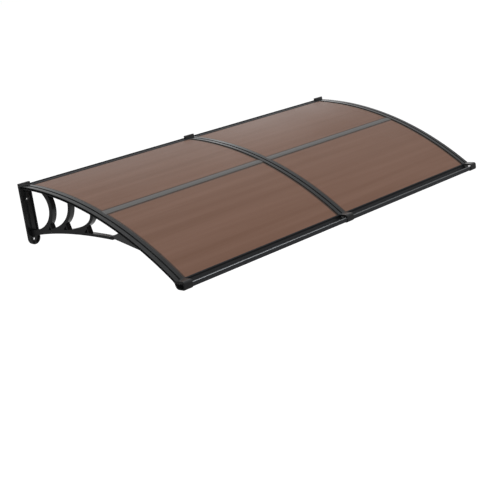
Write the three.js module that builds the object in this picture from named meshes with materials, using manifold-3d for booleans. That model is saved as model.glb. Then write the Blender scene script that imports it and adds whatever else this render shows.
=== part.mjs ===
// Door canopy: three moulded brackets carry four curved hollow sheets between metal bars and a front gutter.
// Millimetres. X runs along the wall, Y into the wall, Z up. The wall is the plane Y = 0.
import * as THREE from "three";
import Module from "manifold-3d";
import { mergeVertices } from "three/addons/utils/BufferGeometryUtils.js";

// Sizes of the whole canopy.
const BAY = 1000; // centre to centre of two neighbouring brackets
const REACH = 939; // wall to the front end of a bracket's arm
const DROP = 342; // fall of the arm's top between the wall and its front end
const CREST_BACK = 68; // how far behind the wall the arm's arc would be level
const PLATE_BOTTOM = 267; // depth of the wall plate's foot below the arm's top
const MOUNT_DEPTH = 150; // depth of the frame's origin below the arm's top

// Arm of a bracket.
const ARM_W = 45;
const ARM_SKIN = 2; // wall left under the pockets that take the bars
const ARM_EDGE = 1.5; // chamfer of its two long top edges
const GROOVE_W = 8;
const GROOVE_DEPTH = 4;
const WEB_W = 16; // wall between the two slots that take the sheets
const ARM_STEPS = 22;

// Sheets and how they sit in their slots.
const SHEET_T = 5;
const SHEET_SKIN = 0.6;
const SHEET_WEB = 0.5;
const SHEET_CELLS = 44;
const SHEET_TOP = 3.2; // depth of a sheet's upper face below the arm's top
const FREE = 0.3; // clearance between a sheet and what holds it
const END_X = 10; // bracket centre to the ends of sheets and bars

// Metal bars.
const BAR_T = 1.2;
const BAR_FREE = 0.3; // clearance between a bar and its pocket in a bracket
const REAR_LIP = 32;
const REAR_EDGE = 18; // wall to the sheets' rear edge
const REAR_RISE = 2; // upstand of the rear bar over the arm's top
const WALL_GAP = 0.5; // wall to the rear bar's back leaf
const JOINT_W = 28;
const JOINT_WEB = 2;

// Front gutter.
const GUTTER_OUT = 36; // arm's front end to the gutter's front face
const GUTTER_DEEP = 25; // arm's front end to the underside of the gutter's floor
const RIM_DEEP = 7; // arm's front end to the middle of the rolled rim
const GUTTER_T = 2;
const TROUGH_R = 20; // rounding of the trough's back
const RIM_R = 2.8;
const UPPER_LIP = 4;
const LOWER_LIP = 16;
const ARM_OVER = 8; // arm beyond the sheets' front edge

// Wall plate, strut and collar of a bracket.
const PLATE_W = 60;
const PLATE_D = 12;
const PLATE_FLOOR = 5;
const PLATE_TOP = 12;
const PLATE_RIM = 6;
const PLATE_RIB = 8;
const BOLT_R = 5.25;
const BOSS_R = 13;
const BOSS_RISE = 3; // lower boss above the plate's floor; the upper one is level with the rims
const UPPER_BOLT = 61;
const LOWER_BOLT = 242;
const SCROLL_W = 24;
const RELIEF = 7; // depth of the sunk triangles in the scrolls' feet
const RELIEF_H = 25; // ankle down to the triangle's base
const RELIEF_L = 22; // ankle back to the triangle's rear corner
const STRUT_T = 12;
const SPANDREL_W = 20;
const SPANDREL_BACK = 44; // strut's end back to the start of the spandrel's hollow edge
const SPANDREL_TIP = 54; // strut's end out to where that edge meets the arm
const SPANDREL_END = 205; // strut's end out to where the spandrel runs out under the arm
const COLLAR_TOP = 14; // rise of the collar over the gutter's rim
const COLLAR_WALL = 4;
const COLLAR_R = 11;
const COLLAR_SEAT = 30; // length of arm that the collar grips

// Screws that hold the bars in the brackets.
const SCREW_R = 1.6;
const HEAD_R = 3.4;
const HEAD_H = 2.6;
const SHORT_SCREW = 7;
const LONG_SCREW = 9;
const SCREW_FREE = 0.3;
const SCREW_TIP = 1.4; // length of the point
const SCREW_X = 17; // bracket centre to a bar's screw
const REAR_SCREW = 10.5; // wall to the rear bar's screws
const JOINT_SCREW = 8; // sheets' meeting line to the joining bar's screws

const wasm = await Module();
wasm.setup();

const plastic = new THREE.MeshStandardMaterial({ color: 0x26282a, roughness: 0.55, metalness: 0 });
const sheetGlaze = new THREE.MeshStandardMaterial({ color: 0x7d6457, roughness: 0.35, metalness: 0 });
const barPaint = new THREE.MeshStandardMaterial({ color: 0x5b5e60, roughness: 0.4, metalness: 0.6 });
const gutterPaint = new THREE.MeshStandardMaterial({ color: 0x45484b, roughness: 0.4, metalness: 0.6 });
const screwSteel = new THREE.MeshStandardMaterial({ color: 0xb4b6b8, roughness: 0.35, metalness: 1 });

// The arm's top is one circle in the side view, through the wall at zero height.
const centreDepth = (REACH * REACH + 2 * REACH * CREST_BACK + DROP * DROP) / (2 * DROP);
const radius = Math.hypot(centreDepth, CREST_BACK);
const wallAngle = Math.asin(CREST_BACK / radius);
const armLength = radius * (Math.asin((REACH + CREST_BACK) / radius) - wallAngle);
const sheetEnd = armLength - ARM_OVER;
const jointAt = (REAR_EDGE + sheetEnd) / 2;

// Point of the side view at a length along the arm's top and a depth under it: distance out, height.
function at(length, depth) {
  const angle = wallAngle + length / radius;
  const r = radius - depth;
  return new THREE.Vector2(r * Math.sin(angle) - CREST_BACK, r * Math.cos(angle) - centreDepth);
}

// Length along the arm's top of the point that lies a given distance out at a given depth under it.
function lengthAt(out, depth) {
  return radius * (Math.asin((out + CREST_BACK) / (radius - depth)) - wallAngle);
}

// A closed solid from a geometry, with its vertices merged and collapsed triangles dropped.
function solid(geometry) {
  geometry.deleteAttribute("normal");
  geometry.deleteAttribute("uv");
  const merged = mergeVertices(geometry, 1e-4);
  const index = merged.index.array;
  const kept = [];
  for (let i = 0; i < index.length; i += 3) {
    const [a, b, c] = [index[i], index[i + 1], index[i + 2]];
    if (a !== b && b !== c && a !== c) kept.push(a, b, c);
  }
  const vertProperties = merged.attributes.position.array;
  const triVerts = new Uint32Array(kept);
  return new wasm.Manifold(new wasm.Mesh({ numProp: 3, vertProperties, triVerts }));
}

function extruded(shape, depth, steps, curveSegments) {
  return new THREE.ExtrudeGeometry(shape, { depth, steps, curveSegments, bevelEnabled: false });
}

// Side-view shape (distance out, height) extruded along X between two places.
function prism(shape, x0, x1, curveSegments = 10) {
  const turn = new THREE.Matrix4().makeBasis(
    new THREE.Vector3(0, -1, 0),
    new THREE.Vector3(0, 0, 1),
    new THREE.Vector3(-1, 0, 0),
  );
  turn.setPosition(x1, 0, 0);
  return solid(extruded(shape, x1 - x0, 1, curveSegments).applyMatrix4(turn));
}

// Front-view shape (X, height) extruded away from the wall between two distances.
function slab(shape, out0, out1, curveSegments = 9) {
  const turn = new THREE.Matrix4().makeBasis(
    new THREE.Vector3(1, 0, 0),
    new THREE.Vector3(0, 0, 1),
    new THREE.Vector3(0, -1, 0),
  );
  turn.setPosition(0, -out0, 0);
  return solid(extruded(shape, out1 - out0, 1, curveSegments).applyMatrix4(turn));
}

// Cross-section (X, minus depth) carried along the arm's arc between two lengths.
function bent(shape, from, to, steps) {
  const geometry = extruded(shape, to - from, steps, 1);
  const p = geometry.attributes.position;
  for (let i = 0; i < p.count; i++) {
    const q = at(from + p.getZ(i), -p.getY(i));
    p.setXYZ(i, p.getX(i), -q.x, q.y);
  }
  return solid(geometry);
}

// Closed outline, always counter-clockwise so that its holes extrude the right way.
function polygon(points) {
  return new THREE.Shape(THREE.ShapeUtils.isClockWise(points) ? [...points].reverse() : points);
}

function box(x0, x1, y0, y1) {
  const V = THREE.Vector2;
  return polygon([new V(x0, y0), new V(x1, y0), new V(x1, y1), new V(x0, y1)]);
}

// Band of the side view between two depths under the arm's top.
function band(from, to, top, bottom, steps) {
  const lengths = Array.from({ length: steps + 1 }, (_, i) => from + ((to - from) * i) / steps);
  return [...lengths.map((a) => at(a, top)), ...lengths.reverse().map((a) => at(a, bottom))];
}

function union(solids) {
  return solids.reduce((a, b) => a.add(b));
}

function cut(body, tools) {
  return tools.reduce((a, b) => a.subtract(b), body);
}

function mesh(body, name, material) {
  const m = body.getMesh();
  const geometry = new THREE.BufferGeometry();
  geometry.setAttribute("position", new THREE.BufferAttribute(m.vertProperties, 3));
  geometry.setIndex(new THREE.BufferAttribute(m.triVerts, 1));
  geometry.computeVertexNormals();
  const made = new THREE.Mesh(geometry, material);
  made.name = name;
  return made;
}

// Depths under the arm's top at which lips and pockets lie.
const sheetBottom = SHEET_TOP + SHEET_T;
const slotTop = SHEET_TOP - FREE;
const slotBottom = sheetBottom + FREE;
const lipTop = slotTop - BAR_T;
const lipBottom = slotBottom + BAR_T;
const pocketTop = lipTop - BAR_FREE;
const pocketBottom = lipBottom + BAR_FREE;
const armDepth = pocketBottom + ARM_SKIN;

const gutterFront = REACH + GUTTER_OUT;
const gutterFloor = DROP + GUTTER_DEEP;
const gutterRim = DROP + RIM_DEEP;

// Gutter: the clip that holds the sheets' front edge, then the trough and its rolled rim.
const clipFront = sheetEnd + FREE + BAR_T;
const clipFoot = at(clipFront, slotBottom);
const channelTop = Math.max(-gutterRim + RIM_R, clipFoot.y) + 1; // roof of the channel through a collar
const rimCentre = new THREE.Vector2(gutterFront - RIM_R, -gutterRim);

// Inner or outer rounding of the trough's back, from the clip down to the floor.
function troughBackCurve(grow) {
  const V = THREE.Vector2;
  const floor = -gutterFloor + GUTTER_T - grow;
  const from = new V(clipFoot.x - grow, clipFoot.y - grow / 2);
  const to = new V(clipFoot.x + TROUGH_R - grow / 2, floor);
  return new THREE.QuadraticBezierCurve(from, new V(clipFoot.x + 3 - grow, floor), to).getPoints(5);
}

function gutterShape() {
  const V = THREE.Vector2;
  const rim = Array.from({ length: 9 }, (_, i) => {
    const turn = -Math.PI / 2 - (i * 1.5 * Math.PI) / 8;
    return new V(rimCentre.x + RIM_R * Math.cos(turn), rimCentre.y + RIM_R * Math.sin(turn));
  });
  return polygon([
    at(sheetEnd - UPPER_LIP, lipTop),
    at(clipFront, lipTop),
    ...troughBackCurve(0),
    new V(gutterFront - GUTTER_T, -gutterFloor + GUTTER_T),
    new V(gutterFront - GUTTER_T, rimCentre.y - RIM_R),
    ...rim,
    new V(gutterFront, -gutterFloor),
    ...troughBackCurve(GUTTER_T).reverse(),
    at(sheetEnd, lipBottom),
    at(sheetEnd - LOWER_LIP, lipBottom),
    at(sheetEnd - LOWER_LIP, slotBottom),
    at(sheetEnd + FREE, slotBottom),
    at(sheetEnd + FREE, slotTop),
    at(sheetEnd - UPPER_LIP, slotTop),
  ]);
}

// Rear bar: back leaf on the wall, lips over and under the sheets' rear edge, and the stop between them.
function rearBarShape() {
  const V = THREE.Vector2;
  const leaf = WALL_GAP + BAR_T;
  const outer = [
    new V(WALL_GAP, -lipBottom),
    new V(WALL_GAP, REAR_RISE),
    new V(leaf, REAR_RISE),
    at(leaf, lipTop),
    at(REAR_LIP, lipTop),
    at(REAR_LIP, slotTop),
    at(REAR_EDGE - FREE, slotTop),
    at(REAR_EDGE - FREE, slotBottom),
    at(REAR_LIP, slotBottom),
    at(REAR_LIP, lipBottom),
  ];
  const shape = polygon(outer);
  const stop = REAR_EDGE - FREE - BAR_T;
  shape.holes.push(
    new THREE.Path([
      at(leaf, slotTop),
      at(stop, slotTop),
      at(stop, slotBottom),
      at(leaf, slotBottom),
    ]),
  );
  return shape;
}

// Joining bar: a letter H lying over and under the two sheets' meeting edges.
function joiningBarShape() {
  const half = JOINT_W / 2;
  const web = JOINT_WEB / 2;
  return polygon([
    at(jointAt - half, lipTop + BAR_T / 2),
    at(jointAt - half / 2, lipTop),
    at(jointAt + half / 2, lipTop),
    at(jointAt + half, lipTop + BAR_T / 2),
    at(jointAt + half, slotTop),
    at(jointAt + web, slotTop),
    at(jointAt + web, slotBottom),
    at(jointAt + half, slotBottom),
    at(jointAt + half, lipBottom),
    at(jointAt - half, lipBottom),
    at(jointAt - half, slotBottom),
    at(jointAt - web, slotBottom),
    at(jointAt - web, slotTop),
    at(jointAt - half, slotTop),
  ]);
}

// Hollow sheet: two skins joined by small webs, its cells running along X.
function sheetShape(from, to) {
  const shape = polygon(band(from, to, SHEET_TOP, sheetBottom, SHEET_CELLS / 2));
  const pitch = (to - from) / SHEET_CELLS;
  for (let i = 0; i < SHEET_CELLS; i++) {
    const a = from + i * pitch + SHEET_WEB / 2;
    const b = from + (i + 1) * pitch - SHEET_WEB / 2;
    const top = SHEET_TOP + SHEET_SKIN;
    const bottom = sheetBottom - SHEET_SKIN;
    shape.holes.push(new THREE.Path([at(a, bottom), at(b, bottom), at(b, top), at(a, top)]));
  }
  return shape;
}

// Arm section: a top flange with a groove, the wall between the slots, and a lower flange.
function armSection() {
  const V = THREE.Vector2;
  const w = ARM_W / 2;
  const g = GROOVE_W / 2;
  const web = WEB_W / 2;
  const right = [
    [g, -GROOVE_DEPTH],
    [g, 0],
    [w - ARM_EDGE, 0],
    [w, -ARM_EDGE],
    [w, -slotTop],
    [web, -slotTop],
    [web, -slotBottom],
    [w, -slotBottom],
    [w, -armDepth],
  ];
  const left = [...right].reverse().map(([x, y]) => [-x, y]);
  return polygon([...right, ...left].map(([x, y]) => new V(x, y)));
}

// The scroll work is laid out for one reach and one plate height, and stretches with both.
const layOut = REACH / 939;
const layDown = PLATE_BOTTOM / 267;

// Point of the scroll work in the side view, from its distance out and its depth in that layout.
function laid([out, depth]) {
  return new THREE.Vector2(out * layOut, -depth * layDown);
}

function curve(points) {
  return new THREE.CubicBezierCurve(...points.map(laid));
}

// Scrolls from the wall outwards: the inner edge's control points from the arm to the tail, the outer edge's
// circle (distance out, depth, radius), and the ankle and the heel of the foot that stands on the strut.
const scrolls = [
  {
    inner: [[118, 14], [226, 72], [169, 202], [4, 200]],
    outer: [96, 90, 100],
    ankle: [163, 165],
    heel: [171, 192],
  },
  {
    inner: [[311, 42], [325, 138], [215, 180], [140, 187]],
    outer: [219, 59, 111],
    ankle: [275, 156],
    heel: [285, 188],
  },
  {
    inner: [[452, 84], [463, 141], [399, 163], [250, 185]],
    outer: [382, 61, 103],
    ankle: [417, 159],
    heel: [425, 188],
  },
];
const ARC_END = (40 * Math.PI) / 180; // turn of the outer edge's circle that lies inside the arm
const GROUND = 300; // depth under all of the scroll work

// Lower edge of the strut, from the wall plate to its rounded end, as control points.
const STRUT = [[4, 229], [189, 192], [395, 191], [574, 202]];
const STRUT_END = STRUT[3][0];

function strutEdge(rise) {
  return curve(STRUT).getPoints(14).map((p) => new THREE.Vector2(p.x, p.y + rise));
}

function strutShape() {
  return polygon([...strutEdge(0), ...strutEdge(STRUT_T).reverse()]);
}

// Everything between the arm and the strut's middle, to which the scrolls are cut.
function scrollField() {
  const underArm = band(PLATE_D, lengthAt(STRUT_END * layOut, 0), armDepth - 2, armDepth, 14);
  return polygon([...underArm.slice(0, 15), ...strutEdge(STRUT_T / 2).reverse()]);
}

// One scroll in the side view: a crescent between its inner curve and its outer circle, and its foot.
function scrollShape({ inner, outer: [out, depth, r], ankle, heel }) {
  const start = Math.atan2(depth - ankle[1], ankle[0] - out);
  const arc = Array.from({ length: 13 }, (_, i) => {
    const turn = start + ((ARC_END - start) * i) / 12;
    return laid([out + r * Math.cos(turn), depth - r * Math.sin(turn)]);
  });
  const tail = inner[3][0];
  const ground = [laid([tail, GROUND]), laid([heel[0], GROUND])];
  return polygon([...curve(inner).getPoints(16), ...ground, laid(heel), ...arc]);
}

// Sunk triangle in both faces of a scroll's foot.
function footRelief({ ankle, heel }) {
  const half = SCROLL_W / 2;
  const low = ankle[1] + RELIEF_H;
  const triangle = polygon([
    laid([ankle[0] - 4, low - RELIEF_H + 7]),
    laid([heel[0] - 7, low]),
    laid([ankle[0] - RELIEF_L, low]),
  ]);
  return [prism(triangle, -half - 1, -half + RELIEF), prism(triangle, half - RELIEF, half + 1)];
}

// Web between the strut's end and the arm, thinner than the strut, with a hollow upper edge.
function spandrel() {
  const V = THREE.Vector2;
  const end = laid(STRUT[3]);
  const back = new V(end.x - SPANDREL_BACK * layOut, end.y + STRUT_T);
  const places = [SPANDREL_TIP, SPANDREL_END].map((beyond) => (STRUT_END + beyond) * layOut);
  const [tip, last] = places.map((out) => lengthAt(out, armDepth));
  const top = band(tip, last, armDepth - 3, armDepth, 6).slice(0, 7);
  const hollow = new THREE.QuadraticBezierCurve(back, new V(end.x, back.y), top[0]).getPoints(6);
  const foot = [new V(end.x, end.y + STRUT_T / 2), new V(back.x, back.y - STRUT_T / 2)];
  return prism(polygon([...foot, ...hollow, ...top.slice(1)]), -SPANDREL_W / 2, SPANDREL_W / 2);
}

// Wall plate: a sunk front with rims, a middle rib and two bolt bosses.
function plateOutline(inset, top) {
  const half = PLATE_W / 2 - inset;
  const shape = new THREE.Shape();
  shape.moveTo(half, top);
  shape.lineTo(-half, top);
  shape.lineTo(-half, -PLATE_BOTTOM + PLATE_W / 2);
  shape.absarc(0, -PLATE_BOTTOM + PLATE_W / 2, half, Math.PI, 2 * Math.PI, false);
  return shape;
}

function disc(depth, r) {
  const shape = new THREE.Shape();
  shape.absarc(0, -depth, r, 0, 2 * Math.PI);
  return shape;
}

function plate() {
  const lowest = -PLATE_BOTTOM + PLATE_RIM / 2;
  let body = slab(plateOutline(0, PLATE_TOP), 0, PLATE_D);
  body = body.subtract(slab(plateOutline(PLATE_RIM, -armDepth - 2), PLATE_FLOOR, PLATE_D + 1));
  body = body.add(slab(box(-PLATE_RIB / 2, PLATE_RIB / 2, lowest, -armDepth), PLATE_FLOOR - 1, PLATE_D));
  const [upper, lower] = [UPPER_BOLT, LOWER_BOLT * layDown];
  body = body.add(slab(disc(upper, BOSS_R), PLATE_FLOOR - 1, PLATE_D));
  body = body.subtract(slab(disc(lower, BOSS_R), PLATE_FLOOR, PLATE_D + 1));
  body = body.add(slab(disc(lower, BOSS_R), PLATE_FLOOR - 1, PLATE_FLOOR + BOSS_RISE));
  return { body, holes: [upper, lower].map((d) => slab(disc(d, BOLT_R), -1, PLATE_D + 1)) };
}

// Collar at the arm's front end, which the gutters slide into from both sides.
const collarFront = gutterFront + COLLAR_WALL;
const collarTop = -gutterRim + COLLAR_TOP;
const collarBottom = -gutterFloor - COLLAR_WALL;

function collarShape() {
  const r = COLLAR_R;
  const shape = new THREE.Shape();
  const start = at(armLength - COLLAR_SEAT * 0.4, 1);
  const under = at(armLength - COLLAR_SEAT, armDepth - 1);
  const back = troughBackCurve(GUTTER_T + COLLAR_WALL);
  shape.moveTo(start.x, start.y);
  shape.lineTo(under.x, under.y);
  for (const p of back) shape.lineTo(p.x, Math.max(p.y, collarBottom));
  shape.lineTo(collarFront - r, collarBottom);
  shape.absarc(collarFront - r, collarBottom + r, r, -Math.PI / 2, 0, false);
  shape.absarc(collarFront - r, collarTop - r, r, 0, Math.PI / 2, false);
  shape.lineTo(start.x + COLLAR_SEAT * 0.6, collarTop);
  return shape;
}

// Pockets that take the ends of the sheets and bars, on one side of a bracket.
function pockets(side) {
  const V = THREE.Vector2;
  const [x0, x1] = [(side * WEB_W) / 2, side * (PLATE_W / 2 + 1)].sort((a, b) => a - b);
  const f = BAR_FREE;
  const leaf = WALL_GAP + BAR_T + f;
  const rear = [new V(-1, -pocketBottom), new V(-1, REAR_RISE + f), new V(leaf, REAR_RISE + f)];
  rear.push(at(leaf, pocketTop), at(REAR_LIP + 1, pocketTop), at(REAR_LIP + 1, pocketBottom));
  const half = JOINT_W / 2 + f;
  const joint = [at(jointAt - half, pocketBottom), at(jointAt - half, pocketTop)];
  joint.push(at(jointAt + half, pocketTop), at(jointAt + half, pocketBottom));
  const clip = [at(sheetEnd - LOWER_LIP - 1, pocketBottom), at(sheetEnd - LOWER_LIP - 1, pocketTop)];
  clip.push(at(clipFront + 3, pocketTop), at(clipFront + 3, pocketBottom));
  const trough = [...troughBackCurve(GUTTER_T + f), new V(gutterFront + f, -gutterFloor - f)];
  trough.push(new V(gutterFront + f, channelTop + f), new V(clipFoot.x - 2, channelTop + f));
  const slot = band(armLength - 2 * COLLAR_SEAT, sheetEnd, slotTop, slotBottom, 3);
  return [rear, joint, clip, slot, trough].map((p) => prism(polygon(p), x0, x1));
}

// Where screws go: point, direction they are driven in, side-view tilt and length.
function screwPlaces() {
  const V = THREE.Vector2;
  const lean = (length) => wallAngle + length / radius;
  const joint = jointAt + JOINT_SCREW;
  const floorAt = clipFoot.x + TROUGH_R + 4;
  return {
    rear_bar: { seat: at(REAR_SCREW, armDepth + 2), tilt: 0, length: SHORT_SCREW },
    joining_bar: { seat: at(joint, armDepth), tilt: lean(joint), length: armDepth - slotBottom + 0.1 },
    gutter: { seat: new V(floorAt, collarBottom), tilt: 0, length: LONG_SCREW },
  };
}

// Pan-head self-tapping screw, point up, standing on the height where its head seats.
function screwSolid(length) {
  const V = THREE.Vector2;
  const profile = [
    new V(0, -HEAD_H),
    new V(HEAD_R * 0.55, -HEAD_H),
    new V(HEAD_R, -HEAD_H * 0.45),
    new V(HEAD_R, 0),
    new V(SCREW_R, 0),
    new V(SCREW_R, length - SCREW_TIP),
    new V(0, length),
  ];
  const turned = new THREE.LatheGeometry(profile, 10).rotateX(Math.PI / 2);
  const slot = new THREE.BoxGeometry(4.4, 0.9, 1.6).translate(0, 0, -HEAD_H);
  const cross = slot.clone().rotateZ(Math.PI / 2);
  return cut(solid(turned), [solid(slot.toNonIndexed()), solid(cross.toNonIndexed())]);
}

function screwHole(length) {
  const r = SCREW_R + SCREW_FREE;
  const profile = [[0, -1], [r, -1], [r, length + 1], [0, length + 1]];
  const turned = new THREE.LatheGeometry(profile.map(([x, y]) => new THREE.Vector2(x, y)), 12);
  return solid(turned.rotateX(Math.PI / 2));
}

// Puts a solid made at the origin, point up, at a screw's place at a given X.
function placed(body, { seat, tilt }, x, gap = 0) {
  const turn = new THREE.Matrix4().makeRotationX(tilt);
  const shift = new THREE.Vector3(0, 0, -gap).applyMatrix4(turn);
  turn.setPosition(x + shift.x, -seat.x + shift.y, seat.y + shift.z);
  return body.transform(turn.elements);
}

const screws = screwPlaces();

// Channel through a collar, as high and as deep as the inside of the trough.
function channel() {
  const V = THREE.Vector2;
  const inner = gutterFront - GUTTER_T;
  const outline = [...troughBackCurve(0), new V(inner, -gutterFloor + GUTTER_T)];
  outline.push(new V(inner, channelTop), new V(clipFoot.x, channelTop));
  return prism(polygon(outline), -PLATE_W / 2, PLATE_W / 2);
}

// One bracket, centred on X = 0, with pockets and screw holes on the sides that hold bars.
function bracket(sides) {
  const w = ARM_W / 2;
  const wallPlate = plate();
  const arm = bent(armSection(), PLATE_D / 2, armLength, ARM_STEPS);
  const half = SCROLL_W / 2;
  const scrollWork = union(scrolls.map((s) => prism(scrollShape(s), -half, half)));
  const trimmed = scrollWork.intersect(prism(scrollField(), -w, w));
  const strut = prism(strutShape(), -half, half);
  const end = laid(STRUT[3]);
  const knob = new THREE.Shape();
  knob.absarc(end.x, end.y + STRUT_T / 2, STRUT_T / 2, 0, 2 * Math.PI);
  const knobEnd = prism(knob, -half, half);
  const collar = prism(collarShape(), -w, w);
  const body = union([wallPlate.body, arm, trimmed, strut, knobEnd, spandrel(), collar]);
  const tools = [...wallPlate.holes, channel(), ...scrolls.flatMap(footRelief)];
  for (const side of sides) {
    const x = side * SCREW_X;
    const holes = Object.values(screws).map((place) => placed(screwHole(place.length), place, x));
    tools.push(...pockets(side), ...holes);
  }
  return cut(body, tools);
}

const canopy = new THREE.Group();
canopy.name = "door_canopy";
const side = { left: -1, middle: 0, right: 1 };
const barredSides = { left: [1], middle: [-1, 1], right: [-1] };

for (const place of Object.keys(side)) {
  const made = mesh(bracket(barredSides[place]), `bracket_${place}`, plastic);
  made.position.set(side[place] * BAY, 0, MOUNT_DEPTH);
  canopy.add(made);
}

const span = BAY - 2 * END_X;
const bays = { left: -BAY + END_X, right: END_X };
const sheets = {
  rear: [REAR_EDGE, jointAt - JOINT_WEB / 2 - FREE],
  front: [jointAt + JOINT_WEB / 2 + FREE, sheetEnd],
};
const bars = {
  rear_bar: { shape: rearBarShape(), material: gutterPaint },
  joining_bar: { shape: joiningBarShape(), material: barPaint },
  gutter: { shape: gutterShape(), material: gutterPaint },
};

for (const [bay, x0] of Object.entries(bays)) {
  const row = new THREE.Group();
  row.name = `bay_${bay}`;
  row.position.set(x0, 0, MOUNT_DEPTH);
  for (const [place, [from, to]] of Object.entries(sheets))
    row.add(mesh(prism(sheetShape(from, to), 0, span), `sheet_${place}_${bay}`, sheetGlaze));
  for (const [name, { shape, material }] of Object.entries(bars)) {
    const place = screws[name];
    const ends = { outer: SCREW_X - END_X, inner: span - SCREW_X + END_X };
    if (bay === "right") [ends.outer, ends.inner] = [ends.inner, ends.outer];
    const holes = Object.values(ends).map((x) => placed(screwHole(place.length), place, x));
    row.add(mesh(cut(prism(shape, 0, span), holes), `${name}_${bay}`, material));
    for (const [end, x] of Object.entries(ends)) {
      const screw = placed(screwSolid(place.length), place, x, FREE / 2);
      row.add(mesh(screw, `screw_${name}_${bay}_${end}`, screwSteel));
    }
  }
  canopy.add(row);
}

export default canopy;
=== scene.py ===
import math

import bmesh
import bpy
from mathutils import Matrix, Vector
from mathutils.geometry import delaunay_2d_cdt


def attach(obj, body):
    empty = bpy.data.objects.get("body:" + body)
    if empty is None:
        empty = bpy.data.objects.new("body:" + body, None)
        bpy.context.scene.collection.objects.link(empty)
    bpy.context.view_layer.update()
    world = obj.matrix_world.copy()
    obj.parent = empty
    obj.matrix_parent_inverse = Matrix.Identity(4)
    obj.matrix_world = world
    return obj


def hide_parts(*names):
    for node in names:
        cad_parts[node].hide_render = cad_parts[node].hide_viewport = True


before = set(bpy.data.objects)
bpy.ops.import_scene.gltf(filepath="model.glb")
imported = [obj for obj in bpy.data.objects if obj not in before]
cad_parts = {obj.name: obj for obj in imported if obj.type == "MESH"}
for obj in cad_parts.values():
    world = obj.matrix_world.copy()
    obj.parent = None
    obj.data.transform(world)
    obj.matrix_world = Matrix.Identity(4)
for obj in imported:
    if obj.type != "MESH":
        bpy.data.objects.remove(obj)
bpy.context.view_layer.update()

# Arm of a bracket: the arched rail of one injection moulding in black filled polypropylene, from the wall
# to the gutter. It has a groove along its top, rounded edges, and a slot in each side for the sheets.
# Seen from the side its top is one circle, which is level 68 behind the wall and has fallen 342 at its end.
ORIGIN_DEPTH = 150
REACH = 939
DROP = 342
CREST_BACK = 68
ARM_W = 45
ARM_DEPTH = 12
ARM_EDGE = 2
ARM_START = 4
GROOVE_W = 8
GROOVE_DEPTH = 4
WEB_W = 16
SLOT_TOP = 2.9
SLOT_BOTTOM = 8.5
arch_depth = (REACH**2 + 2 * REACH * CREST_BACK + DROP**2) / (2 * DROP)
arch_radius = math.hypot(arch_depth, CREST_BACK)
wall_angle = math.asin(CREST_BACK / arch_radius)
arm_length = arch_radius * (math.asin((REACH + CREST_BACK) / arch_radius) - wall_angle)


def on_arch(length, depth):
    """Side-view point (distance out, height) at a length along the arm's top and a depth under it."""
    angle = wall_angle + length / arch_radius
    r = arch_radius - depth
    return r * math.sin(angle) - CREST_BACK, r * math.cos(angle) - arch_depth


def length_at(out, depth):
    """Length along the arm's top of the point at a distance out and a depth under it."""
    return arch_radius * (math.asin((out + CREST_BACK) / (arch_radius - depth)) - wall_angle)


def seen_from_side(out, height, x):
    """Place in metres of a side-view point, at a distance along the wall."""
    return Vector((x, -out, height + ORIGIN_DEPTH)) / 1000


def rounded(corners, steps=3):
    """Outline through corners (across, up, radius), with an arc of so many steps at each radius."""
    outline = []
    for i, (u, v, r) in enumerate(corners):
        corner = Vector((u, v))
        if not r:
            outline.append(corner)
            continue
        before = (Vector(corners[i - 1][:2]) - corner).normalized()
        after = (Vector(corners[(i + 1) % len(corners)][:2]) - corner).normalized()
        half = before.angle(after) / 2
        centre = corner + (before + after).normalized() * r / math.sin(half)
        start, end = (corner + d * r / math.tan(half) - centre for d in (before, after))
        turn = start.angle_signed(end)
        outline += [centre + Matrix.Rotation(-turn * k / steps, 2) @ start for k in range(steps + 1)]
    return outline


def shown(name, bm):
    """Object of a closed mesh, with doubles merged and faces turned outwards."""
    bmesh.ops.remove_doubles(bm, verts=bm.verts, dist=2e-6)
    bmesh.ops.recalc_face_normals(bm, faces=bm.faces)
    mesh = bpy.data.meshes.new(name)
    bm.to_mesh(mesh)
    bm.free()
    made = bpy.data.objects.new(name, mesh)
    bpy.context.scene.collection.objects.link(made)
    return made


def arm():
    w, g, web = ARM_W / 2, GROOVE_W / 2, WEB_W / 2
    right = [(g, -GROOVE_DEPTH, 0.5), (g, 0, 0.6), (w, 0, ARM_EDGE), (w, -SLOT_TOP, 0.3)]
    right += [(web, -SLOT_TOP, 0.4), (web, -SLOT_BOTTOM, 0.4), (w, -SLOT_BOTTOM, 0.4), (w, -ARM_DEPTH, 1)]
    section = rounded(right + [(-u, v, r) for u, v, r in reversed(right)], 4)
    bm = bmesh.new()
    rings = []
    steps = 110
    for k in range(steps + 1):
        length = ARM_START + (arm_length - ARM_START) * k / steps
        rings.append([bm.verts.new(seen_from_side(*on_arch(length, -p.y), p.x)) for p in section])
    for a, b in zip(rings, rings[1:]):
        for i in range(len(section)):
            bm.faces.new((a[i - 1], a[i], b[i], b[i - 1]))
    bm.faces.new(rings[0])
    bm.faces.new(rings[-1])
    return shown("arm", bm)


# Wall plate of a bracket: a tongue of the same moulding, sunk in front between its rims and a middle rib.
# Two bosses, the upper one level with the rims, hold the bores by which the canopy hangs. The plate's flat
# back is on the wall.
PLATE_W = 60
PLATE_D = 12
PLATE_TOP = 12
PLATE_BOTTOM = 267
PLATE_FLOOR = 5
PLATE_RIM = 6
PLATE_RIB = 8
BOSS_R = 13
BOSS_RISE = 3
BOLT_R = 5.25
BOLTS = [61, 242]
SUNK_TOP = ARM_DEPTH + 2


def seen_from_front(x, height, out):
    """Place in metres of a point of the front view, at a distance out from the wall."""
    return Vector((x, -out, height + ORIGIN_DEPTH)) / 1000


def circle(centre, r):
    u, v = centre
    turns = [2 * math.pi * k / 48 for k in range(48)]
    return [Vector((u + r * math.cos(t), v + r * math.sin(t))) for t in turns]


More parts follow.
